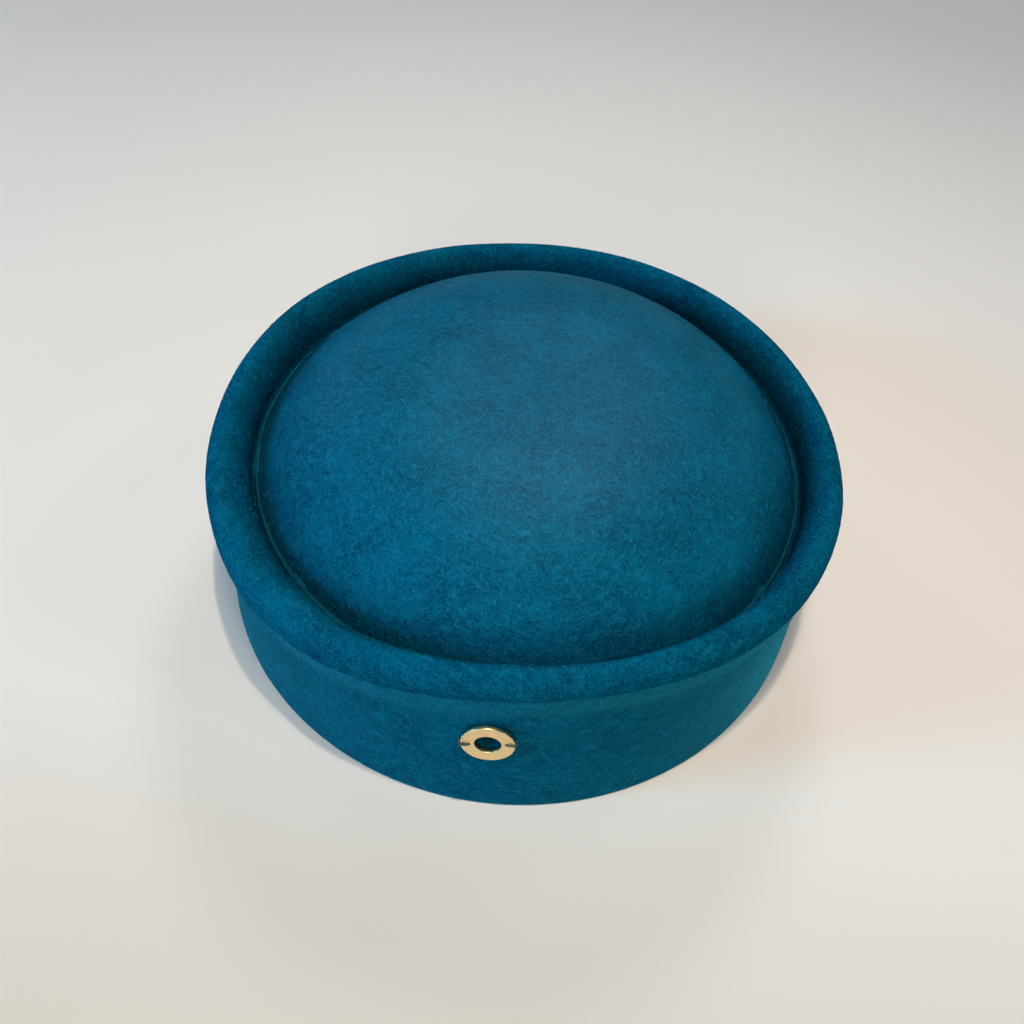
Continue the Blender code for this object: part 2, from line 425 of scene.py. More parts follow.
def outer_levels(bearing):
    """The felt's outer face from the rim to near the dome's top, with the part that each ring is on."""
    reach = np.linalg.norm(plan_place(bearing, CREASE_OUT), axis=-1)
    middle_out = belly_out - ROLL_HALF_THICK
    belly_up = top_up - ROLL_SHOULDER
    rings, parts = [], []

    def add(part, more):
        rings.extend(more)
        parts.extend([part] * len(more))

    add("wall", [(0.0 * bearing, RIM_ROUND + 0 * bearing)])
    wall_top = neck_up - NECK_ROUND
    for step in range(1, WALL_STEPS):
        up = RIM_ROUND + (wall_top - RIM_ROUND) * step / WALL_STEPS
        waist = -WALL_WAIST * np.sin(pi * up / neck_up)
        shoulder = SHOULDER_PROUD * soft_step((neck_up - up - SHOULDER_BELOW) / SHOULDER_SPREAD)
        add("wall", [(waist + shoulder + WALL_SWELL * unevenness(bearing, up), up)])
    neck = (NECK_ROUND, neck_up - NECK_ROUND)
    add("roll", arc_levels(neck, NECK_ROUND, NECK_ROUND, 180, 110, NECK_STEPS))
    below_belly = (0 * bearing, belly_up)
    add("roll", arc_levels(below_belly, belly_out, belly_up - neck_up, -65, 0, BELLY_STEPS))
    over_belly = (middle_out, belly_up)
    add("roll", arc_levels(over_belly, ROLL_HALF_THICK, ROLL_SHOULDER, 0, 90, ROLL_STEPS)[1:])
    crease = crease_levels(reach, CREASE_STEPS)
    crease_top = crease[0][1]
    inner_half = middle_out - CREASE_OUT
    above_crease = (middle_out, crease_top)
    inner_side = arc_levels(above_crease, inner_half, top_up - crease_top, 90, 180, ROLL_STEPS)
    add("roll", inner_side[1:-1])
    add("crease", crease)
    for share in DOME_SHARES:
        lip = LIP_PROUD * soft_step((share - LIP_SHARE) / LIP_SPREAD)
        out = CREASE_OUT - reach * (1 - share) + 0.5 * lip
        swell = DOME_SWELL * unevenness(bearing, share * 0.08) * share
        add("dome", [(out, dome_up(share) + lip + swell)])
    return rings, parts, reach


outer_rings, outer_parts, crease_reach = outer_levels(around)
for index, part in enumerate(outer_parts):
    if part == "roll":
        out, up = outer_rings[index]
        above_neck = np.clip((up - neck_up) / (top_up - neck_up), 0, 1)
        near_top = above_neck * np.clip((out - CREASE_OUT) / FELT, 0, 1)
        outer_rings[index] = (out + (ripple(around) + unevenness(around, 0.0)) * near_top, up)
outer = np.array([[np.broadcast_to(v, around.shape) for v in ring] for ring in outer_rings])
print("outer face has", len(outer), "levels of", FELT_SEGMENTS, "points")

# %% [markdown]
# ## Thickness, and the finished mesh
# Real felt has a thickness that shows at the rim and inside. The inner face is the same section moved
# inwards by 2.5 mm, square to itself at each level, and a small rounded rim joins the two faces. The
# mesh also carries attributes: where the fluffy neck is, with the painted sheen that it carries, most
# of all at the sides of the hat, where the crease's lip gets a painted highlight, how much painted shade
# the fold gets, how far up the section a point is, and which zone it belongs to. The finish and the
# fibres read them later.

# %% Felt body mesh
NAP_BELOW = 1.8 * MM
NAP_SPREAD = 4.2 * MM
# How far into the dome the fold's painted shade reaches.
FOLD_SHADE_REACH = 7.6 * MM
# The nap and its painted sheen at the front and back are this share of those at the sides.
NAP_AND_SHEEN_AT_FRONT = 0.30
# How much painted shade the fold puts on the roll in all, and how that grows down the roll's inner side.
ROLL_FOLD_SHADE = 0.16
ROLL_FOLD_POWER = 0.45
# Below this height the felt is the rim, which carries no fibres.
RIM_TOP = 0.8 * MM


def inward(levels, distance):
    """The same levels moved square to the section, to the felt's inner face."""
    steps = np.diff(levels, axis=0)
    steps /= np.linalg.norm(steps, axis=1, keepdims=True)
    first = np.zeros_like(steps[:1])
    first[:, 1] = 1.0
    last = np.zeros_like(steps[:1])
    last[:, 0] = -1.0
    along = np.concatenate([first, steps]) + np.concatenate([steps, last])
    along /= np.linalg.norm(along, axis=1, keepdims=True)
    square = np.stack([-along[:, 1], along[:, 0]], 1)
    return levels + square * distance


def rim_levels():
    inner = arc_levels((RIM_ROUND - FELT, RIM_ROUND), RIM_ROUND, RIM_ROUND, 180, 270, 4)[1:]
    under = arc_levels((-RIM_ROUND, RIM_ROUND), RIM_ROUND, RIM_ROUND, -90, 0, 4)[:-1]
    return np.array([[np.full_like(around, v) for v in ring] for ring in inner + under])


inner_kept = [i for i, part in enumerate(outer_parts) if part != "wall" or i % 3 == 0]
inner = inward(outer, FELT)[inner_kept][::-1]
levels = np.concatenate([inner, rim_levels(), outer])
first_outer = len(levels) - len(outer)
plan = plan_place(np.broadcast_to(around, levels[:, 0].shape), levels[:, 0])
rings = np.concatenate([plan, levels[:, 1][..., None]], -1) + np.array(PLAN_SHIFT)


def ring_mesh(name, rings, poles):
    """A closed mesh: rings of points joined by four-sided faces, with a fan at each end."""
    count, segments = rings.shape[:2]
    points = np.concatenate([rings.reshape(-1, 3), poles])
    low = np.arange(count - 1)[:, None] * segments + np.arange(segments)
    after = np.arange(count - 1)[:, None] * segments + (np.arange(segments) + 1) % segments
    sides = np.stack([low, after, after + segments, low + segments], -1).reshape(-1, 4)
    edge = np.arange(segments)
    follow = (edge + 1) % segments
    top = (count - 1) * segments
    start = [(len(points) - 2, b, a) for a, b in zip(edge, follow)]
    end = [(len(points) - 1, top + a, top + b) for a, b in zip(edge, follow)]
    mesh = bpy.data.meshes.new(name)
    mesh.from_pydata(points.tolist(), [], sides.tolist() + start + end)
    mesh.shade_smooth()
    return mesh


def add_values(mesh, name, rings_of_values, at_poles):
    values = np.concatenate([rings_of_values.reshape(-1), at_poles]).astype(np.float32)
    mesh.attributes.new(name, "FLOAT", "POINT").data.foreach_set("value", values)


inner_pole = (PLAN_SHIFT.x, PLAN_SHIFT.y, APEX_UP - FELT)
outer_pole = (PLAN_SHIFT.x, PLAN_SHIFT.y, APEX_UP)
felt_mesh = ring_mesh("felt_body_fine", rings, np.array([inner_pole, outer_pole]))

level_number = np.arange(len(levels))[:, None] + 0 * around
is_outer = (level_number >= first_outer).astype(float)
out_parts = np.array(["inside"] * first_outer + outer_parts)
is_roll = (out_parts == "roll")[:, None] * np.ones_like(around)
below_neck = neck_up - levels[:, 1]
# The neck's band of raised nap; its paler colour is also a painted sheen, strongest at the sides.
nap_and_painted_sheen = soft_step((below_neck - NAP_BELOW) / NAP_SPREAD) * is_outer
outside_crease = np.clip((levels[:, 0] + 1.5 * MM) / MM, 0, 1)
nap_and_painted_sheen *= outside_crease * np.clip((neck_up + 1.4 * MM - levels[:, 1]) / MM, 0, 1)
nap_and_painted_sheen *= NAP_AND_SHEEN_AT_FRONT + (1 - NAP_AND_SHEEN_AT_FRONT) * np.sin(around) ** 2
share_in = 1 - (CREASE_OUT - levels[:, 0]) / crease_reach
is_dome = (out_parts == "dome")[:, None] * np.ones_like(around)
# A painted highlight along the lip at the foot of the dome.
crease_lip_highlight = soft_step((share_in - LIP_SHARE) / (0.8 * LIP_SPREAD)) * is_dome
# Painted shade in the fold: deepest at the crease, fading up the dome, and on the roll growing down its
# inner side.
into_dome = np.clip((CREASE_OUT - levels[:, 0]) / FOLD_SHADE_REACH, 0, 3)
down_roll = np.clip((top_up - levels[:, 1]) / (top_up - CREASE_UP), 0, 1)
on_inner_side = np.clip((belly_out - ROLL_HALF_THICK - levels[:, 0]) / (1.5 * MM), 0, 1)
roll_fold_shade = is_roll * (ROLL_FOLD_SHADE + (1 - ROLL_FOLD_SHADE) * on_inner_side * down_roll**ROLL_FOLD_POWER)
fold_shade = np.where(levels[:, 0] > CREASE_OUT, roll_fold_shade, soft_step(into_dome)) * is_outer
travel = np.concatenate([[0 * around], np.cumsum(np.linalg.norm(np.diff(levels, axis=0), axis=1), axis=0)])
add_values(felt_mesh, "nap_and_painted_sheen", nap_and_painted_sheen, (0.0, 0.0))
add_values(felt_mesh, "crease_lip_highlight", crease_lip_highlight, (0.0, 0.0))
add_values(felt_mesh, "fold_shade", fold_shade, (0.0, 0.0))
add_values(felt_mesh, "travel", travel, (0.0, float(travel[-1].mean())))
ZONE_NAMES = ("inside", "wall", "roll", "dome_front", "dome_back")
zone_of = {"inside": 0, "wall": 1, "roll": 2, "crease": 2, "dome": 3}
zone = np.array([zone_of[part] for part in out_parts], float)[:, None] + 0 * around
zone += (zone == 3) * (np.cos(around) < 0)
zone[levels[:, 1] < RIM_TOP] = -1.0
add_values(felt_mesh, "zone", zone, (0.0, 3.0))
felt_body = add_object("felt_body_fine", felt_mesh)
print("felt body has", len(felt_mesh.polygons), "faces")

# %% [markdown]
# ## The felt's finish
# Wool felt is a mat of dyed fibres. Seen near, it has four things: a deep colour with slow, cloudy
# changes, a fine grain, short pale fibres that lie the way the felt was brushed, and single hairs
# that curl across it. The clouds and grain come from noise on the object's own coordinates. The
# brushed streaks follow the hat, so they use the direction round the axis and the distance travelled
# up the section, which has no seam. The hairs lie where a noise crosses its middle value. Painted
# shade darkens the fold and the felt behind the ring, and a painted highlight lightens the crease's lip.
# At the neck the nap stands up and is paler, partly from its fluff and partly from a painted sheen.
# The finish comes in four kinds, given face by face: the wall has a sheen and a little painted shade,
# the dome was pressed and has a trace of shine, and the roll and the inside are dull.

# %% Felt material
FELT_DEEP = (0.0, 0.041, 0.087, 1.0)
FELT_MID = (0.0, 0.101, 0.188, 1.0)
FELT_LIGHT = (0.006, 0.180, 0.300, 1.0)
# The pale colour of fluff and single fibres, which also paints the neck's sheen and the crease's
# highlight.
FELT_PALE_AND_PAINTED_LIGHT = (0.022, 0.310, 0.420, 1.0)
# The dark colour that paints shade into the fold, behind the ring and on the wall.
FELT_PAINTED_SHADE = (0.0, 0.012, 0.030, 1.0)
FELT_GLINT = (0.18, 0.75, 1.0, 1.0)
FELT_FLUFF = (0.10, 0.80, 1.0, 1.0)
FELT_ROUGHNESS = 0.42
SHEEN_ROUGHNESS = 0.35
STREAKS_ROUND = 26.0
STREAKS_UP = 700.0
CLOUD_SCALE = 62.0
MOTTLE_SCALE = 420.0
GRAIN_SCALE = 1500.0
# How much the clouds, the mottle and the grain each count in the depth of the colour, and the values
# of that depth between which the felt goes from its deep to its middle colour.
DEPTH_SHARES = (0.25, 0.25, 0.50)
DEPTH_LOW = 0.43
DEPTH_HIGH = 0.585
# Each row is one size of hair: the scale of its noise, and how strongly it shows.
HAIRS = ((430.0, 0.5), (800.0, 0.75), (1300.0, 0.9))
HAIR_WIDTH = 0.03
# How strongly each place takes its own colour: the nap its paler fluff and painted sheen, the fold
# and the felt behind the ring their painted shade, and the crease's lip its painted highlight.
NAP_SHEEN_MIX = 0.80
FOLD_SHADE_MIX = 0.78
CREASE_HIGHLIGHT_MIX = 0.30
RING_SHADE_MIX = 0.92


def brushed_place(tree, place, round_scale, up_scale):
    """Coordinates that are stretched round the hat, for streaks that run with the brushing."""
    flat = add_node(tree, "ShaderNodeVectorMath", ((0, place), (1, (1.0, 1.0, 0.0))), operation="MULTIPLY")
    unit = add_node(tree, "ShaderNodeVectorMath", ((0, flat.outputs[0]),), operation="NORMALIZE")
    turn = add_node(tree, "ShaderNodeVectorMath", ((0, unit.outputs[0]),), operation="SCALE")
    turn.inputs["Scale"].default_value = round_scale
    up = times(tree, attribute(tree, "travel"), up_scale)
    lift = add_node(tree, "ShaderNodeCombineXYZ", (("Z", up),)).outputs[0]
    links = ((0, turn.outputs[0]), (1, lift))
    return add_node(tree, "ShaderNodeVectorMath", links, operation="ADD").outputs[0]


def curls(tree, place, scale, strength):
    """Thin curling lines, like single pale hairs: where a noise crosses its middle value."""
    wander = noise(tree, place, scale, 2.0, 0.6, 1.2)
    off_line = calculate(tree, "ABSOLUTE", calculate(tree, "SUBTRACT", wander, 0.5))
    hair = remap(tree, off_line, 0.0, HAIR_WIDTH, strength, 0.0)
    broken = remap(tree, noise(tree, place, scale * 1.7, 1.0), 0.45, 0.6)
    return times(tree, hair, broken)


def make_felt_material(name, shine, sheen, shade):
    """Felt with its own share of shine and of sheen, and darkened by its own share of painted shade."""
    finish, tree, shader = new_material(name)
    place = add_node(tree, "ShaderNodeTexCoord").outputs["Object"]
    brushed = brushed_place(tree, place, STREAKS_ROUND, STREAKS_UP)
    clouds = noise(tree, place, CLOUD_SCALE, 3.0, 0.55)
    mottle = noise(tree, place, MOTTLE_SCALE, 3.0, 0.6)
    grain = noise(tree, place, GRAIN_SCALE, 3.0, 0.8)
    streaks = noise(tree, brushed, 1.0, 3.0, 0.65, 0.4)
    parts = [times(tree, kind, share) for kind, share in zip((clouds, mottle, grain), DEPTH_SHARES)]
    depth = calculate(tree, "ADD", calculate(tree, "ADD", parts[0], parts[1]), parts[2])
    tone = mix_colour(tree, remap(tree, depth, DEPTH_LOW, DEPTH_HIGH), FELT_DEEP, FELT_MID)
    tone = mix_colour(tree, remap(tree, streaks, 0.52, 0.72, 0.0, 0.5), tone, FELT_LIGHT)
    for scale, strength in HAIRS:
        tone = mix_colour(tree, curls(tree, place, scale, strength), tone, FELT_LIGHT)
    # The neck's nap is paler, partly from its fluff and partly from a painted sheen.
    fuzz = remap(tree, grain, 0.35, 0.62, 0.55, 1.0)
    nap_here = times(tree, times(tree, attribute(tree, "nap_and_painted_sheen"), fuzz), NAP_SHEEN_MIX)
    tone = mix_colour(tree, nap_here, tone, FELT_PALE_AND_PAINTED_LIGHT)
    # Painted shade in the fold.
    tone = mix_colour(tree, times(tree, attribute(tree, "fold_shade"), FOLD_SHADE_MIX), tone, FELT_PAINTED_SHADE)
    # A painted highlight along the crease's lip.
    line = times(tree, attribute(tree, "crease_lip_highlight"), CREASE_HIGHLIGHT_MIX)
    tone = mix_colour(tree, line, tone, FELT_PALE_AND_PAINTED_LIGHT)
    # The part's own share of painted shade.
    tone = mix_colour(tree, shade, tone, FELT_PAINTED_SHADE)
    # Painted shade on the felt behind the ring.
    ring_shade_here = times(tree, attribute(tree, "ring_painted_shade"), RING_SHADE_MIX)
    tone = mix_colour(tree, ring_shade_here, tone, FELT_PAINTED_SHADE)
    tree.links.new(tone, shader.inputs["Base Color"])
    shader.inputs["Roughness"].default_value = FELT_ROUGHNESS
    shader.inputs["Sheen Weight"].default_value = sheen
    shader.inputs["Sheen Roughness"].default_value = SHEEN_ROUGHNESS
    shader.inputs["Sheen Tint"].default_value = FELT_FLUFF
    shader.inputs["Specular IOR Level"].default_value = shine
    shader.inputs["Specular Tint"].default_value = FELT_GLINT
    height = calculate(tree, "ADD", times(tree, mottle, 0.9), times(tree, streaks, 0.5))
    coarse = bump(tree, height, 0.35, 0.35 * MM)
    fine = bump(tree, grain, 0.6, 0.2 * MM, coarse)
    tree.links.new(fine, shader.inputs["Normal"])
    return finish


# Each row is one part of the hat, with its share of shine, of sheen and of painted shade.
FELT_FINISHES = (
    ("inside", 0.0, 0.0, 0.0),
    ("wall", 0.0, 0.36, 0.17),
    ("roll", 0.0, 0.0, 0.0),
    ("dome", 0.03, 0.0, 0.0),
)
FINISH_NAMES = [row[0] for row in FELT_FINISHES]
for part, shine, sheen, shade in FELT_FINISHES:
    felt_mesh.materials.append(make_felt_material("teal_wool_felt_" + part, shine, sheen, shade))
finish_of = [FINISH_NAMES.index(part.replace("crease", "roll")) for part in out_parts[1:]]
pole_finish = (FINISH_NAMES.index("inside"), FINISH_NAMES.index("dome"))
face_finish = np.repeat([*finish_of, *pole_finish], FELT_SEGMENTS)
felt_mesh.polygons.foreach_set("material_index", face_finish)
felt_pieces.objects.link(felt_body)
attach(felt_body, "root")
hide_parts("felt_body")
print("felt finishes:", FINISH_NAMES)

# %% [markdown]
# ## Loose fibres
# What makes felt look soft is the layer of short fibres that stand off it. They could be painted, but
# then the outline would stay hard, so here they are real: thin curved spindles, scattered over the
# surface. Geometry Nodes suit this, because one small tree makes a fibre, scatters it by a density
# that is read from the mesh, turns and scales each copy by a seeded random number, and makes them
# plain mesh at the end. The tree runs once for each zone of the hat, with its own inputs.

# %% Fibre tree
FIBRE_INPUTS = (
    ("Density", "NodeSocketFloat"),
    ("Length", "NodeSocketFloat"),
    ("Radius", "NodeSocketFloat"),
    ("Lift", "NodeSocketFloat"),
    ("Zone", "NodeSocketFloat"),
    ("Seed", "NodeSocketInt"),
    ("Material", "NodeSocketMaterial"),
)
# A fibre's bend, as shares of its length, and how much thinner it is at its end.
FIBRE_BEND = (
    ("Start", (-0.5, 0.0, -0.04)),
    ("Middle", (0.05, 0.34, 0.10)),
    ("End", (0.5, -0.06, 0.03)),
)
FIBRE_TAPER = 0.75
FIBRE_SIZES = (0.45, 1.35)
# A fibre leans between these shares of its zone's lift, and the fluffy neck has more of them.
FIBRE_LEANS = (-1.0, 0.25)
NAP_EXTRA = 1.6


def make_tree(name, given, inputs, made):
    """An empty Geometry Nodes tree that takes a geometry and the inputs, and gives a geometry."""
    tree = bpy.data.node_groups.new(name, "GeometryNodeTree")
    tree.interface.new_socket(given, in_out="INPUT", socket_type="NodeSocketGeometry")
    for label, kind in inputs:
        tree.interface.new_socket(label, in_out="INPUT", socket_type=kind)
    tree.interface.new_socket(made, in_out="OUTPUT", socket_type="NodeSocketGeometry")
    return tree


def end_tree(tree, geometry, material):
    """The last nodes of a tree: instances made real, then the material."""
    real = add_node(tree, "GeometryNodeRealizeInstances", (("Geometry", geometry),))
    links = (("Geometry", real.outputs[0]), ("Material", material))
    dyed = add_node(tree, "GeometryNodeSetMaterial", links)
    add_node(tree, "NodeGroupOutput", ((0, dyed.outputs[0]),))


def random_value(tree, low, high, seed):
    """A random number for each fibre. The node's sockets for plain numbers end in _001."""
    node = add_node(tree, "FunctionNodeRandomValue", data_type="FLOAT")
    sockets = {socket.identifier: socket for socket in node.inputs}
    sockets["Min_001"].default_value = low
    sockets["Max_001"].default_value = high
    sockets["Seed"].default_value = seed
    return node.outputs[1]


def make_fibre_tree():
    tree = make_tree("felt_fibres", "Mesh", FIBRE_INPUTS, "Fibres")
    given = add_node(tree, "NodeGroupInput").outputs

    def scaled(vector, size):
        node = add_node(tree, "ShaderNodeVectorMath", ((0, vector),), operation="SCALE")
        tree.links.new(size, node.inputs["Scale"])
        return node.outputs[0]

    bent = add_node(tree, "GeometryNodeCurveQuadraticBezier", (("Resolution", 3),))
    for end, shape in FIBRE_BEND:
        tree.links.new(scaled(shape, given["Length"]), bent.inputs[end])
    along = add_node(tree, "GeometryNodeSplineParameter").outputs["Factor"]
    taper = calculate(tree, "SUBTRACT", 1.0, times(tree, along, FIBRE_TAPER))
    links = (("Resolution", 3), ("Radius", given["Radius"]))
    ring = add_node(tree, "GeometryNodeCurvePrimitiveCircle", links)
    links = (("Curve", bent.outputs[0]), ("Profile Curve", ring.outputs["Curve"]), ("Scale", taper))
    fibre = add_node(tree, "GeometryNodeCurveToMesh", links)
    fibre.inputs["Fill Caps"].default_value = True

    def stored(label):
        kind = "GeometryNodeInputNamedAttribute"
        return add_node(tree, kind, (("Name", label),), data_type="FLOAT").outputs[0]

    gap = calculate(tree, "ABSOLUTE", calculate(tree, "SUBTRACT", stored("zone"), given["Zone"]))
    in_zone = calculate(tree, "LESS_THAN", gap, 0.5)
    thick = calculate(tree, "ADD", 1.0, times(tree, stored("nap_and_painted_sheen"), NAP_EXTRA))
    density = times(tree, times(tree, in_zone, thick), given["Density"])
    links = (("Mesh", given["Mesh"]), ("Density", density), ("Seed", given["Seed"]))
    spread = add_node(tree, "GeometryNodeDistributePointsOnFaces", links)

    spin = random_value(tree, 0.0, 2 * pi, 11)
    tilt = times(tree, random_value(tree, *FIBRE_LEANS, 12), given["Lift"])
    turned = add_node(tree, "ShaderNodeCombineXYZ", (("Z", spin),)).outputs[0]
    leaned = add_node(tree, "ShaderNodeCombineXYZ", (("Y", tilt),)).outputs[0]
    facing = spread.outputs["Rotation"]
    for angles in (turned, leaned):
        by = add_node(tree, "FunctionNodeEulerToRotation", ((0, angles),)).outputs[0]
        links = (("Rotation", facing), ("Rotate By", by))
        facing = add_node(tree, "FunctionNodeRotateRotation", links, rotation_space="LOCAL").outputs[0]
    size = random_value(tree, *FIBRE_SIZES, 13)
    links = (("Points", spread.outputs["Points"]), ("Instance", fibre.outputs[0]))
    links += (("Rotation", facing), ("Scale", size))
    copies = add_node(tree, "GeometryNodeInstanceOnPoints", links)
    shade = random_value(tree, 0.0, 1.0, 14)
    links = (("Geometry", copies.outputs[0]), ("Name", "shade"), ("Value", shade))
    tinted = add_node(tree, "GeometryNodeStoreNamedAttribute", links, data_type="FLOAT", domain="INSTANCE")
    end_tree(tree, tinted.outputs[0], given["Material"])
    return tree


fibre_tree = make_fibre_tree()
print("fibre tree has", len(fibre_tree.nodes), "nodes")


# %% [markdown]
# ## Turning a tree into a plain piece
# A modifier's inputs are set by their identifiers, which the tree's interface gives. The evaluated
# result is copied to a mesh of its own, so that the finished piece needs no modifier at all.

# %% Run a tree
def evaluated_mesh(thing, name):
    """The plain mesh that an object's modifiers make of it."""
    graph = bpy.context.evaluated_depsgraph_get()
    mesh = bpy.data.meshes.new_from_object(thing.evaluated_get(graph))
    mesh.name = name
    return mesh


def run_tree(name, tree, source, values):
    """Runs a Geometry Nodes tree on a source mesh and returns the result as a plain object."""
    holder = add_object(name + "_source", source)
    modifier = holder.modifiers.new("tree", "NODES")
    modifier.node_group = tree
    for item in tree.interface.items_tree:
        if item.in_out == "INPUT" and item.name in values:
            modifier[item.identifier] = values[item.name]
    mesh = evaluated_mesh(holder, name)
    bpy.data.objects.remove(holder)
    return add_object(name, mesh)


def make_fibre_material():
    """Single fibres catch more light than the mat below, so they are paler, each by its own shade."""
    finish, tree, shader = new_material("teal_fibres")
    shade = attribute(tree, "shade")
    tone = mix_colour(tree, remap(tree, shade, 0.0, 0.75), FELT_DEEP, FELT_LIGHT)
    tone = mix_colour(tree, remap(tree, shade, 0.62, 0.95), tone, FELT_PALE_AND_PAINTED_LIGHT)
    tree.links.new(tone, shader.inputs["Base Color"])
    shader.inputs["Roughness"].default_value = 0.45
    shader.inputs["Specular IOR Level"].default_value = 0.02
    shader.inputs["Specular Tint"].default_value = FELT_GLINT
    return finish


fibre_finish = make_fibre_material()

# %% Scatter the fibres
# Each row is one zone: fibres for each square metre, their length, radius and lift, and a seed.
NAP_COLUMNS = ("zone", "density", "length_mm", "radius_mm", "lift_deg", "seed")
NAP_ROWS = (
    ("wall", 380000.0, 1.15, 0.055, 30.0, 3),
    ("roll", 440000.0, 1.15, 0.055, 34.0, 5),
    ("dome_front", 560000.0, 1.15, 0.055, 26.0, 7),
    ("dome_back", 560000.0, 1.15, 0.055, 26.0, 8),
    ("inside", 60000.0, 1.30, 0.045, 30.0, 9),
)

for row in NAP_ROWS:
    nap_row = dict(zip(NAP_COLUMNS, row))
    nap_values = {
        "Density": nap_row["density"],
        "Length": nap_row["length_mm"] * MM,
        "Radius": nap_row["radius_mm"] * MM,
        "Lift": radians(nap_row["lift_deg"]),
        "Zone": float(ZONE_NAMES.index(nap_row["zone"])),
        "Seed": nap_row["seed"],
        "Material": fibre_finish,
    }
    fibres = run_tree("fibres_" + nap_row["zone"], fibre_tree, felt_mesh, nap_values)
    felt_pieces.objects.link(fibres)
    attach(fibres, "root")
    print(fibres.name, "has", sum(len(face.vertices) - 2 for face in fibres.data.polygons), "triangles")

# %% [markdown]
# ## The gold ring
# The ring is a flat turned washer, 13 mm across, with rounded edges and two sewing holes. It is built
# flat at the middle of its own space, turned from a short profile, drilled by two cutters, and only
# then put in its place on the wall. A fine raised line runs round the outer and inner edges, where
# the metal was polished, and the flat between them is brushed.

# %% Ring shape
BADGE_BEARING = radians(4.4)
BADGE_UP = 26.9 * MM
BADGE_RADIUS = 6.5 * MM
BADGE_HOLE_RADIUS = 3.2 * MM
BADGE_THICK = 1.0 * MM
BADGE_TURN = radians(9.0)
BADGE_LEAN = radians(2.4)
BADGE_GAP = 0.3 * MM
BADGE_SEGMENTS = 144
EDGE_ROUND = 0.2 * MM
EDGE_LINE = 0.42 * MM
LINE_SLOPE = 0.09 * MM
FACE_SUNK = 0.05 * MM
EDGE_STEPS = 5
SEWING_HOLE_RADIUS = 0.42 * MM
SEWING_HOLE_OUT = 4.45 * MM
# Where the drill's flare for the deburred end starts and stops below and above the face.
FLARE_WIDTH = 0.16 * MM
FLARE_BELOW = 0.10 * MM
FLARE_ABOVE = 0.06 * MM
DRILL_SIDES = 24


def badge_profile():
    """The ring's section from the middle of its back, round the outside and back through the hole."""
    half = BADGE_THICK / 2
    inside, outside = BADGE_HOLE_RADIUS, BADGE_RADIUS
    corners = (
        (outside - EDGE_ROUND, EDGE_ROUND - half, -90),
        (outside - EDGE_ROUND, half - EDGE_ROUND, 0),
        (inside + EDGE_ROUND, half - EDGE_ROUND, 90),
        (inside + EDGE_ROUND, EDGE_ROUND - half, 180),
    )
    points = []
    for index, (middle_out, middle_up, start) in enumerate(corners):
        for step in range(EDGE_STEPS + 1):
            angle = radians(start + 90 * step / EDGE_STEPS)
            points.append((middle_out + EDGE_ROUND * cos(angle), middle_up + EDGE_ROUND * sin(angle)))
        if index == 1:
            points.append((outside - EDGE_LINE, half))
            points.append((outside - EDGE_LINE - LINE_SLOPE, half - FACE_SUNK))
            points.append((inside + EDGE_LINE + LINE_SLOPE, half - FACE_SUNK))
            points.append((inside + EDGE_LINE, half))
    return points


def turned_ring(name, profile, segments):
    shape = bmesh.new()
    rows = []
    for step in range(segments):
        angle = 2 * pi * step / segments
        rows.append([shape.verts.new((r * cos(angle), r * sin(angle), z)) for r, z in profile])
    for row, after in zip(rows, rows[1:] + rows[:1]):
        for index in range(len(profile)):
            following = (index + 1) % len(profile)
            shape.faces.new((row[index], row[following], after[following], after[index]))
    bmesh.ops.recalc_face_normals(shape, faces=shape.faces)
    return add_object(name, mesh_from(shape, name))


def drill(target, place, radius):
    """Cuts a round hole whose front end opens slightly, as a drilled and deburred hole has."""
    half = BADGE_THICK / 2
    flared = radius + FLARE_WIDTH
    profile = (
        (0.0, -3 * half),
        (radius, -3 * half),
        (radius, half - FLARE_BELOW),
        (flared, half + FLARE_ABOVE),
        (flared, 3 * half),
        (0.0, 3 * half),
    )
    shape = bmesh.new()
    points = [shape.verts.new((place.x + r, place.y, z)) for r, z in profile]
    edges = [shape.edges.new(pair) for pair in zip(points, points[1:])]
    turned = points + edges
    bmesh.ops.spin(shape, geom=turned, cent=place, axis=(0, 0, 1), angle=2 * pi, steps=DRILL_SIDES)
    bmesh.ops.remove_doubles(shape, verts=shape.verts, dist=1e-6)
    bmesh.ops.recalc_face_normals(shape, faces=shape.faces)
    cutter = add_object("drill", mesh_from(shape, "drill"))
    cut = target.modifiers.new("drill", "BOOLEAN")
    cut.operation = "DIFFERENCE"
    cut.object = cutter
    mesh = evaluated_mesh(target, target.name)
    target.modifiers.remove(cut)
    target.data = mesh
    bpy.data.objects.remove(cutter)


ring_badge = turned_ring("ring_badge_fine", badge_profile(), BADGE_SEGMENTS)
for side in (-1, 1):
    drill(ring_badge, Vector((side * SEWING_HOLE_OUT, 0, 0)), SEWING_HOLE_RADIUS)
print("ring has", len(ring_badge.data.polygons), "faces")

# %% [markdown]
# ## Placing the ring
# The ring lies on the wall a little to the right of the middle of the front. Its place is worked out
# from the wall's own oval: outward is square to the wall, up is up, and the ring is turned and leaned
# slightly in that frame. The mesh is moved into place, and the object stays at the origin. The felt
# that shows through the ring lies in its shade, so the body gets one more attribute there.

# %% Ring placing and finish
GOLD = (0.98, 0.74, 0.39, 1.0)
GOLD_DEEP = (0.80, 0.58, 0.30, 1.0)
BRUSHING_OUT = 9000.0
BRUSHING_ROUND = 1.5
TARNISH_SCALE = 700.0


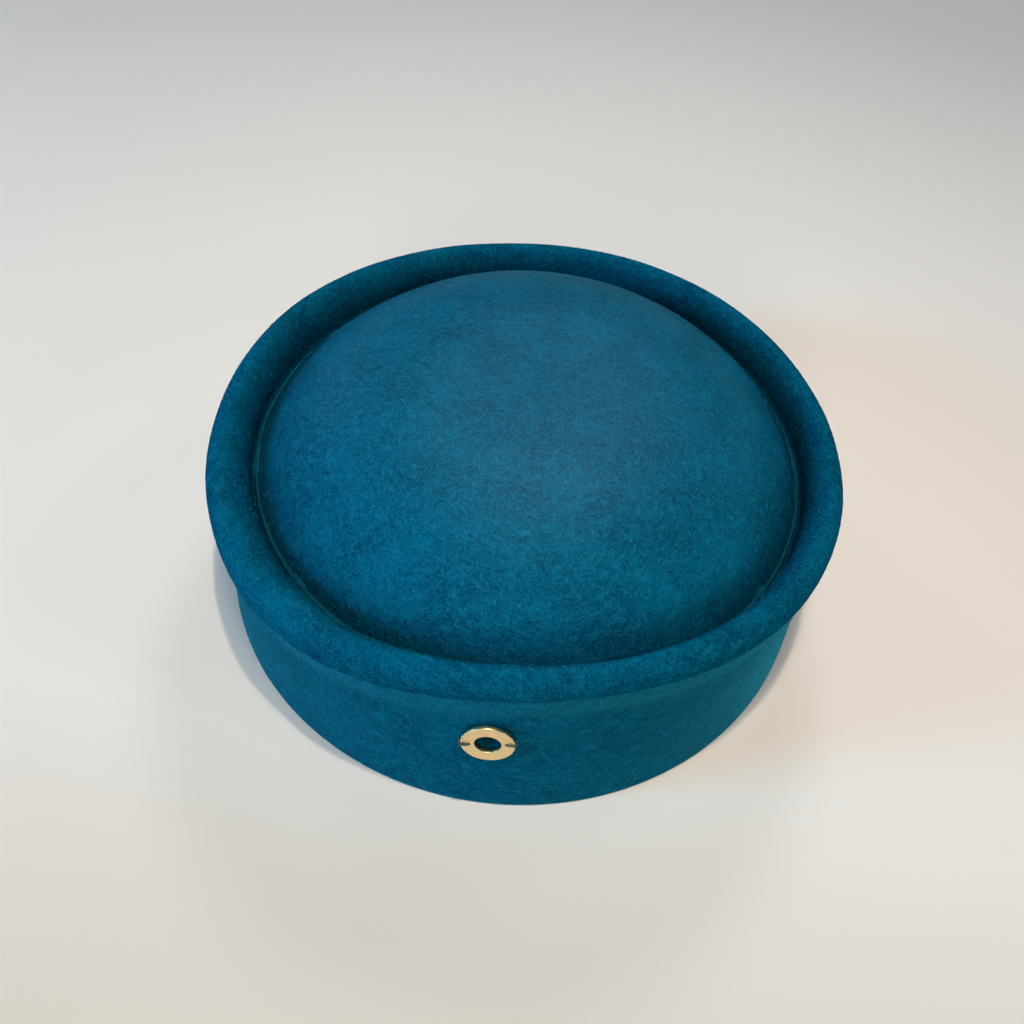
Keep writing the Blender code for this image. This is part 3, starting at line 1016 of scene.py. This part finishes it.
def badge_place():
    bearing = np.array([BADGE_BEARING])
    near = plan_place(bearing, -WALL_WAIST / 2)[0]
    far = plan_place(bearing, MM)[0]
    outward = Vector((*(far - near), 0.0)).normalized()
    up = Vector((0.0, 0.0, 1.0))
    facing = Matrix((up.cross(outward), up, outward)).transposed().to_4x4()
    stand_off = BADGE_GAP + BADGE_THICK / 2 + BADGE_RADIUS * sin(BADGE_LEAN)
    spot = Vector((near[0], near[1], BADGE_UP)) + PLAN_SHIFT + outward * stand_off
    lean = Matrix.Rotation(BADGE_LEAN, 4, "X")
    turn = Matrix.Rotation(BADGE_TURN, 4, "Z")
    return Matrix.Translation(spot) @ facing @ lean @ turn


def make_gold_material():
    """Pale gold plate, with fine brushing round the ring."""
    finish, tree, shader = new_material("pale_gold_plate")
    local = add_node(tree, "ShaderNodeAttribute", attribute_name="ring_place").outputs["Vector"]
    split = add_node(tree, "ShaderNodeSeparateXYZ", ((0, local),)).outputs
    radial = times(tree, split["X"], BRUSHING_OUT)
    turned = times(tree, split["Y"], BRUSHING_ROUND)
    brushed = add_node(tree, "ShaderNodeCombineXYZ", (("X", radial), ("Y", turned))).outputs[0]
    lines = noise(tree, brushed, 1.0, 3.0, 0.6)
    place = add_node(tree, "ShaderNodeTexCoord").outputs["Object"]
    tarnish = noise(tree, place, TARNISH_SCALE, 3.0, 0.6)
    tone = mix_colour(tree, remap(tree, tarnish, 0.42, 0.75, 0.0, 0.55), GOLD, GOLD_DEEP)
    tree.links.new(tone, shader.inputs["Base Color"])
    shader.inputs["Metallic"].default_value = 1.0
    tree.links.new(remap(tree, lines, 0.3, 0.7, 0.24, 0.40), shader.inputs["Roughness"])
    tree.links.new(bump(tree, lines, 0.25, 0.02 * MM), shader.inputs["Normal"])
    return finish


def add_ring_place(mesh):
    """Stores each point's distance from the ring's axis and its angle, for the brushing."""
    points = np.zeros(len(mesh.vertices) * 3)
    mesh.vertices.foreach_get("co", points)
    points = points.reshape(-1, 3)
    radius = np.hypot(points[:, 0], points[:, 1])
    angle = np.arctan2(points[:, 1], points[:, 0])
    values = np.stack([radius, angle, points[:, 2]], 1).astype(np.float32)
    place = mesh.attributes.new("ring_place", "FLOAT_VECTOR", "POINT")
    place.data.foreach_set("vector", values.reshape(-1))


ring_to_hat = badge_place()
# Painted shade on the felt that shows through the ring's hole.
from_ring = np.linalg.norm(rings - np.array(ring_to_hat.translation), axis=-1)
ring_painted_shade = soft_step((from_ring / BADGE_HOLE_RADIUS) ** 2) * is_outer
add_values(felt_mesh, "ring_painted_shade", ring_painted_shade, (0.0, 0.0))
add_ring_place(ring_badge.data)
ring_badge.data.transform(ring_to_hat)
ring_badge.data.shade_smooth()
ring_badge.data.set_sharp_from_angle(angle=radians(50))
ring_badge.data.materials.clear()
ring_badge.data.materials.append(make_gold_material())
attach(ring_badge, "root")
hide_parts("ring_badge")
print("ring centre mm:", [round(v / MM, 1) for v in ring_to_hat.translation])

# %% [markdown]
# ## The stitches
# A doubled thread comes up through each sewing hole, crosses the ring's face and turns down over its
# edge into the felt. A thread is two plies twisted together, and a tree makes it from any path: the
# profile is two small circles side by side, the path's tilt grows along its length, and sweeping the
# pair along the tilted path gives the twist. The paths themselves are short, and their points are listed.

# %% Thread tree
THREAD_RADIUS = 0.08 * MM
THREAD_TWIST = 5200.0
THREAD_SIDES = 8
THREAD_INPUTS = (
    ("Radius", "NodeSocketFloat"),
    ("Twist", "NodeSocketFloat"),
    ("Material", "NodeSocketMaterial"),
)


def make_thread_tree():
    tree = make_tree("sewing_thread", "Path", THREAD_INPUTS, "Thread")
    given = add_node(tree, "NodeGroupInput").outputs
    path = add_node(tree, "GeometryNodeMeshToCurve", (("Mesh", given["Path"]),))
    travelled = add_node(tree, "GeometryNodeSplineParameter").outputs["Length"]
    links = (("Curve", path.outputs[0]), ("Tilt", times(tree, travelled, given["Twist"])))
    twisted = add_node(tree, "GeometryNodeSetCurveTilt", links)
    plies = add_node(tree, "GeometryNodeJoinGeometry")
    for side in (-1.0, 1.0):
        links = (("Resolution", THREAD_SIDES), ("Radius", given["Radius"]))
        ring = add_node(tree, "GeometryNodeCurvePrimitiveCircle", links)
        beside = times(tree, given["Radius"], side)
        offset = add_node(tree, "ShaderNodeCombineXYZ", (("X", beside),)).outputs[0]
        links = (("Geometry", ring.outputs["Curve"]), ("Translation", offset))
        ply = add_node(tree, "GeometryNodeTransform", links)
        tree.links.new(ply.outputs[0], plies.inputs[0])
    links = (("Curve", twisted.outputs[0]), ("Profile Curve", plies.outputs[0]))
    swept = add_node(tree, "GeometryNodeCurveToMesh", links)
    swept.inputs["Fill Caps"].default_value = True
    smooth = add_node(tree, "GeometryNodeSetShadeSmooth", (("Geometry", swept.outputs[0]),))
    end_tree(tree, smooth.outputs[0], given["Material"])
    return tree


# %% Stitch paths
# Points of one pass of thread in the ring's own frame, in millimetres: out from the middle, across,
# and up from the middle of the metal. It starts in the felt behind the hole and ends in the felt
# beyond the edge.
STITCH_PATH = (
    (4.42, 0.0, -1.15),
    (4.43, 0.0, -0.2),
    (4.5, 0.0, 0.35),
    (4.72, 0.01, 0.60),
    (5.2, 0.02, 0.66),
    (5.9, 0.03, 0.66),
    (6.35, 0.03, 0.66),
    (6.68, 0.03, 0.50),
    (6.80, 0.03, 0.05),
    (6.84, 0.03, -0.95),
)
# Each pass of thread: which hole, how far across it starts and ends, and how far it lies above.
STITCH_PASSES = (
    (-1, -0.08, -0.22, 0.0),
    (-1, 0.08, 0.20, 0.0),
    (-1, 0.0, 0.02, 0.17),
    (1, -0.08, -0.16, 0.0),
    (1, 0.08, 0.24, 0.0),
)
PATH_POINTS = 90
# A pass that lies above another is lifted by this height over the hole's edge, and from this share of
# its way on it also reaches further out.
LIFT_HEIGHT = 0.5 * MM
REACH_FROM = 0.6


def smooth_path(points, count):
    """A smooth curve through the points, read at even steps (Catmull-Rom)."""
    points = np.array(points)
    ends = np.concatenate([[2 * points[0] - points[1]], points, [2 * points[-1] - points[-2]]])
    places = np.linspace(0, len(points) - 1 - 1e-9, count)
    result = []
    for place in places:
        i = int(place)
        t = place - i
        a, b, c, d = ends[i:i + 4]
        curve = 2 * b + (c - a) * t + (2 * a - 5 * b + 4 * c - d) * t**2
        result.append(0.5 * (curve + (3 * b - a - 3 * c + d) * t**3))
    return np.array(result)


def stitch_mesh():
    vertices, edges = [], []
    for side, start, end, above in STITCH_PASSES:
        path = smooth_path(STITCH_PATH, PATH_POINTS) * MM
        share = np.linspace(0, 1, PATH_POINTS)
        over = np.clip((path[:, 2] - 0.1 * MM) / LIFT_HEIGHT, 0, 1)
        path[:, 1] += (start + (end - start) * share) * MM
        path[:, 2] += above * MM * over
        path[:, 0] += above * MM * np.clip((share - REACH_FROM) / 0.3, 0, 1) * 0.8
        path[:, 0] *= side
        first = len(vertices)
        vertices += [tuple(ring_to_hat @ Vector(point)) for point in path]
        edges += [(first + i, first + i + 1) for i in range(PATH_POINTS - 1)]
    mesh = bpy.data.meshes.new("stitch_paths")
    mesh.from_pydata(vertices, edges, [])
    return mesh


THREAD_DARK = (0.012, 0.040, 0.045, 1.0)
THREAD_LIGHT = (0.06, 0.10, 0.10, 1.0)


def make_thread_material():
    finish, tree, shader = new_material("dark_teal_thread")
    place = add_node(tree, "ShaderNodeTexCoord").outputs["Object"]
    fibre = noise(tree, place, 9000.0, 2.0)
    tone = mix_colour(tree, fibre, THREAD_DARK, THREAD_LIGHT)
    tree.links.new(tone, shader.inputs["Base Color"])
    shader.inputs["Roughness"].default_value = 0.55
    shader.inputs["Sheen Weight"].default_value = 0.2
    tree.links.new(bump(tree, fibre, 0.4, 0.03 * MM), shader.inputs["Normal"])
    return finish


thread_values = {"Radius": THREAD_RADIUS, "Twist": THREAD_TWIST, "Material": make_thread_material()}
stitches = run_tree("ring_stitches", make_thread_tree(), stitch_mesh(), thread_values)
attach(stitches, "root")
print("stitches have", len(stitches.data.polygons), "faces")
